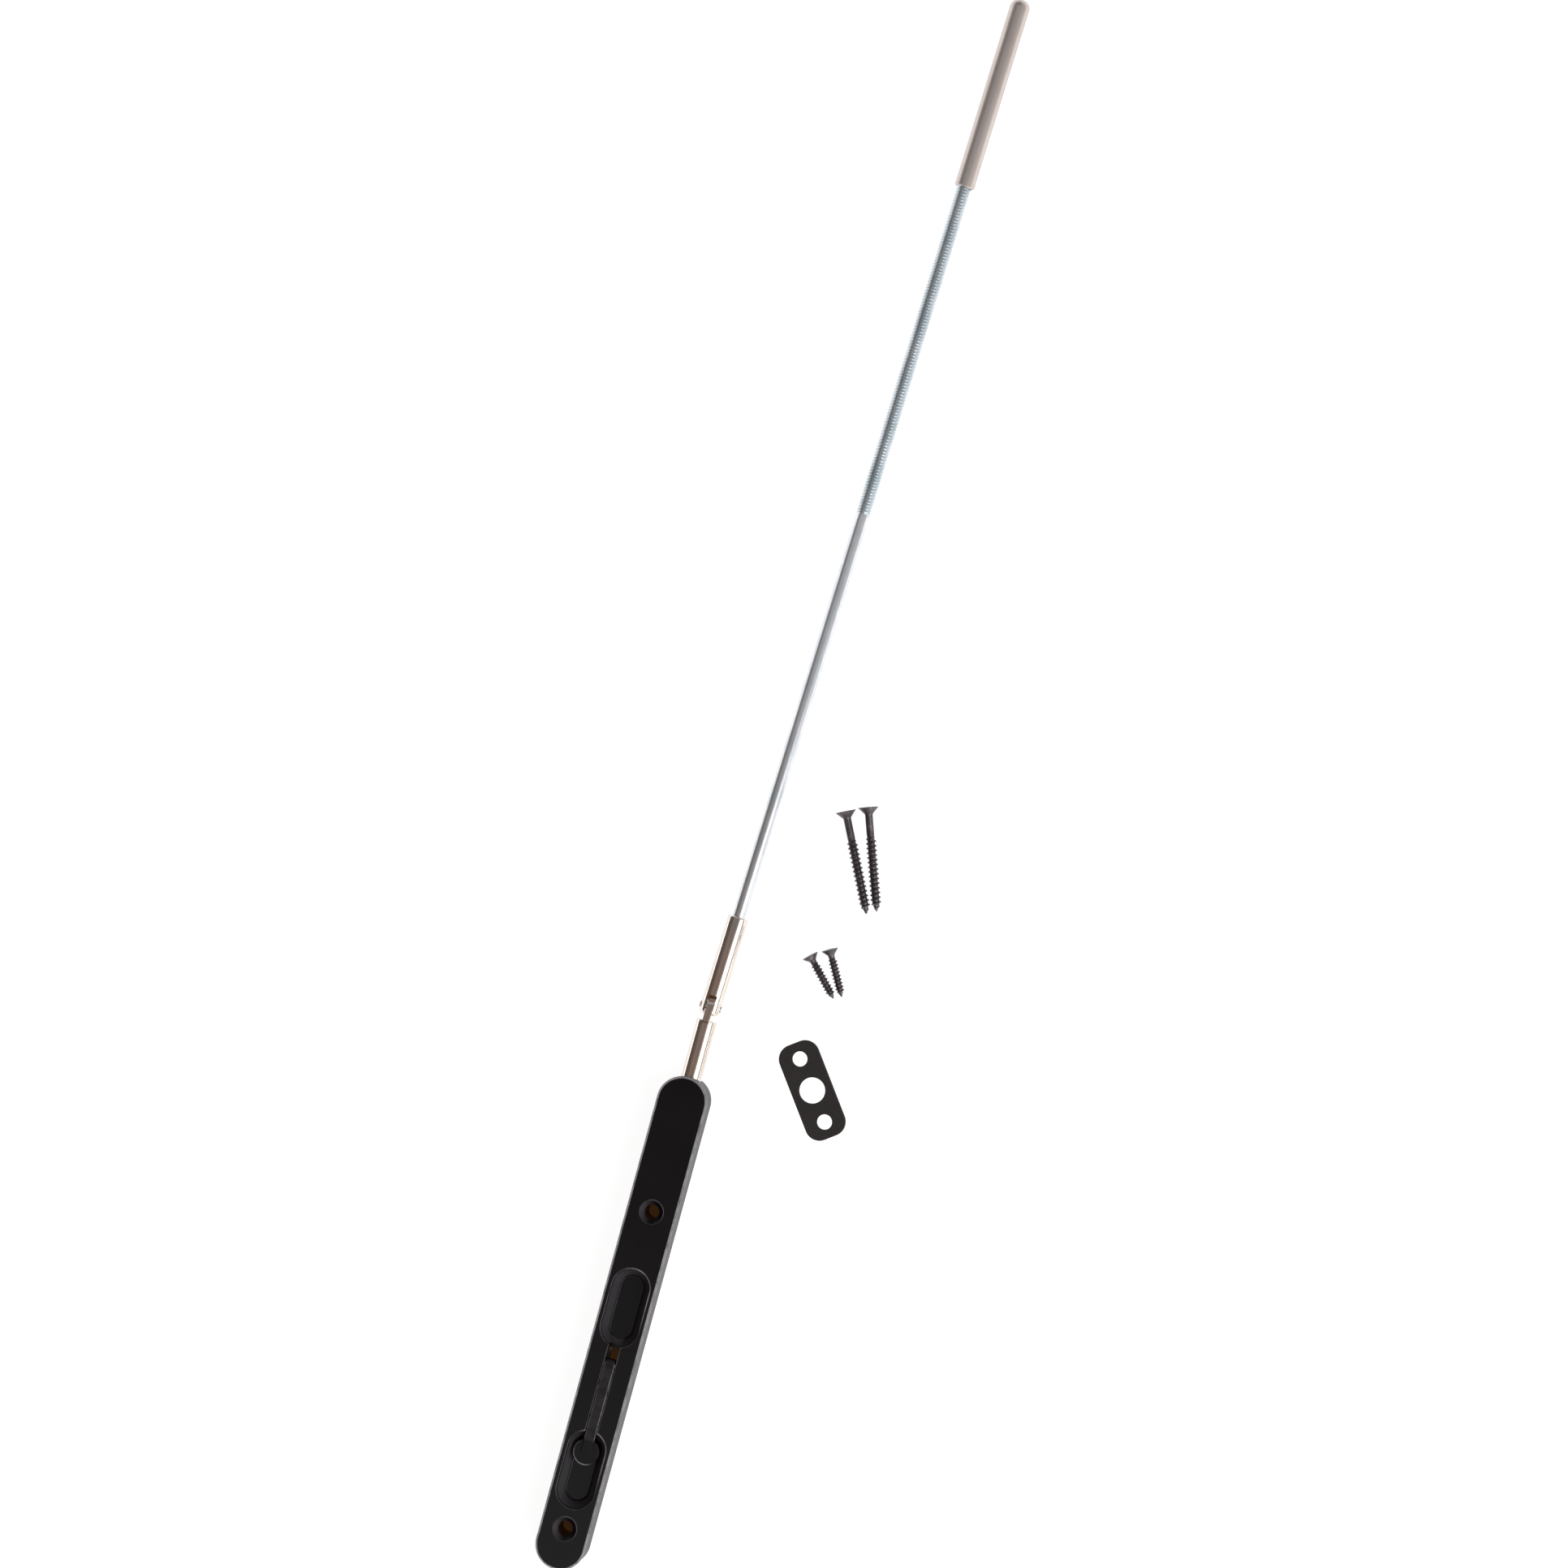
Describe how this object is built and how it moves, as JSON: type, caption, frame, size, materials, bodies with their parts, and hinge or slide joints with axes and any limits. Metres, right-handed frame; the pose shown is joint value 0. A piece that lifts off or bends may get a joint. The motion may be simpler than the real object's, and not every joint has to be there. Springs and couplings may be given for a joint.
{
  "type": "lever extension flush bolt",
  "caption": "Flush bolt in a narrow round-ended case: a flip lever throws a rod with a rounded tip through a knuckle joint; with strike plate and screws.",
  "frame": {"origin": "halfway between the two face screw holes, on the flat back of the case", "axes": "+X across the case, +Y along the case towards the bolt's tip, +Z out of the case's face"},
  "size_m": [0.0755, 0.6624, 0.0175],
  "materials": {
    "case_black": "satin black powder coat",
    "lever_black": "satin black powder coat",
    "plate_black": "matte black paint",
    "screw_black": "dark phosphate and oil",
    "zinc_steel": "zinc plated",
    "spring_steel": "blued spring steel",
    "bright_nickel": "polished nickel plate",
    "rod_zinc": "bright zinc plate",
    "satin_nickel": "satin nickel plate"
  },
  "bodies": {
    "housing": {"body_casting": "case_black", "back_cover": "zinc_steel", "cover_screws": "zinc_steel", "lever_pivot_pin": "zinc_steel", "friction_spring": "spring_steel", "spring_rivet": "zinc_steel"},
    "lever": {"lever": "lever_black", "crank_pin": "zinc_steel"},
    "bolt": {"fork_left": "zinc_steel", "fork_right": "zinc_steel", "slider_block": "zinc_steel", "slider_rivets": "zinc_steel", "drive_strap": "zinc_steel", "strap_pin": "zinc_steel", "bolt_stub": "bright_nickel", "stub_rivets": "zinc_steel"},
    "rod": {"knuckle_pin": "bright_nickel", "coupling_sleeve": "bright_nickel", "extension_rod": "rod_zinc"},
    "tip": {"bolt_tip": "satin_nickel"},
    "strike": {"strike_plate": "plate_black"},
    "face_screw_pair": {"face_screws": "screw_black"},
    "strike_screw_pair": {"strike_screws": "screw_black"}
  },
  "joints": [
    {"name": "lever_flip", "type": "hinge", "parent": "housing", "child": "lever", "pos_m": [0, -0.00775, 0.0145], "axis": [-1, 0, 0], "range_deg": [0, 180]},
    {"name": "bolt_throw", "type": "slide", "parent": "housing", "child": "bolt", "axis": [0, 1, 0], "range_m": [-0.02, 0]},
    {"name": "knuckle_fold", "type": "hinge", "parent": "bolt", "child": "rod", "pos_m": [0, 0.15205, 0.00525], "axis": [0.9995, -0.0332, 0], "range_deg": [-90, 90]},
    {"name": "tip_adjust", "type": "slide", "parent": "rod", "child": "tip", "axis": [0.0332, 0.9995, 0], "range_m": [-0.03, 0.012]},
    {"name": "strike_plate_lift", "type": "slide", "parent": "housing", "child": "strike", "axis": [0, 0, 1], "range_m": [0, 0.05]},
    {"name": "face_screws_lift", "type": "slide", "parent": "housing", "child": "face_screw_pair", "axis": [0, 0, 1], "range_m": [0, 0.05]},
    {"name": "strike_screws_lift", "type": "slide", "parent": "housing", "child": "strike_screw_pair", "axis": [0, 0, 1], "range_m": [0, 0.05]}
  ],
  "couplings": [
    {"joint": "lever_flip", "follows": "bolt_throw", "rad_per_m": -157.08}
  ]
}
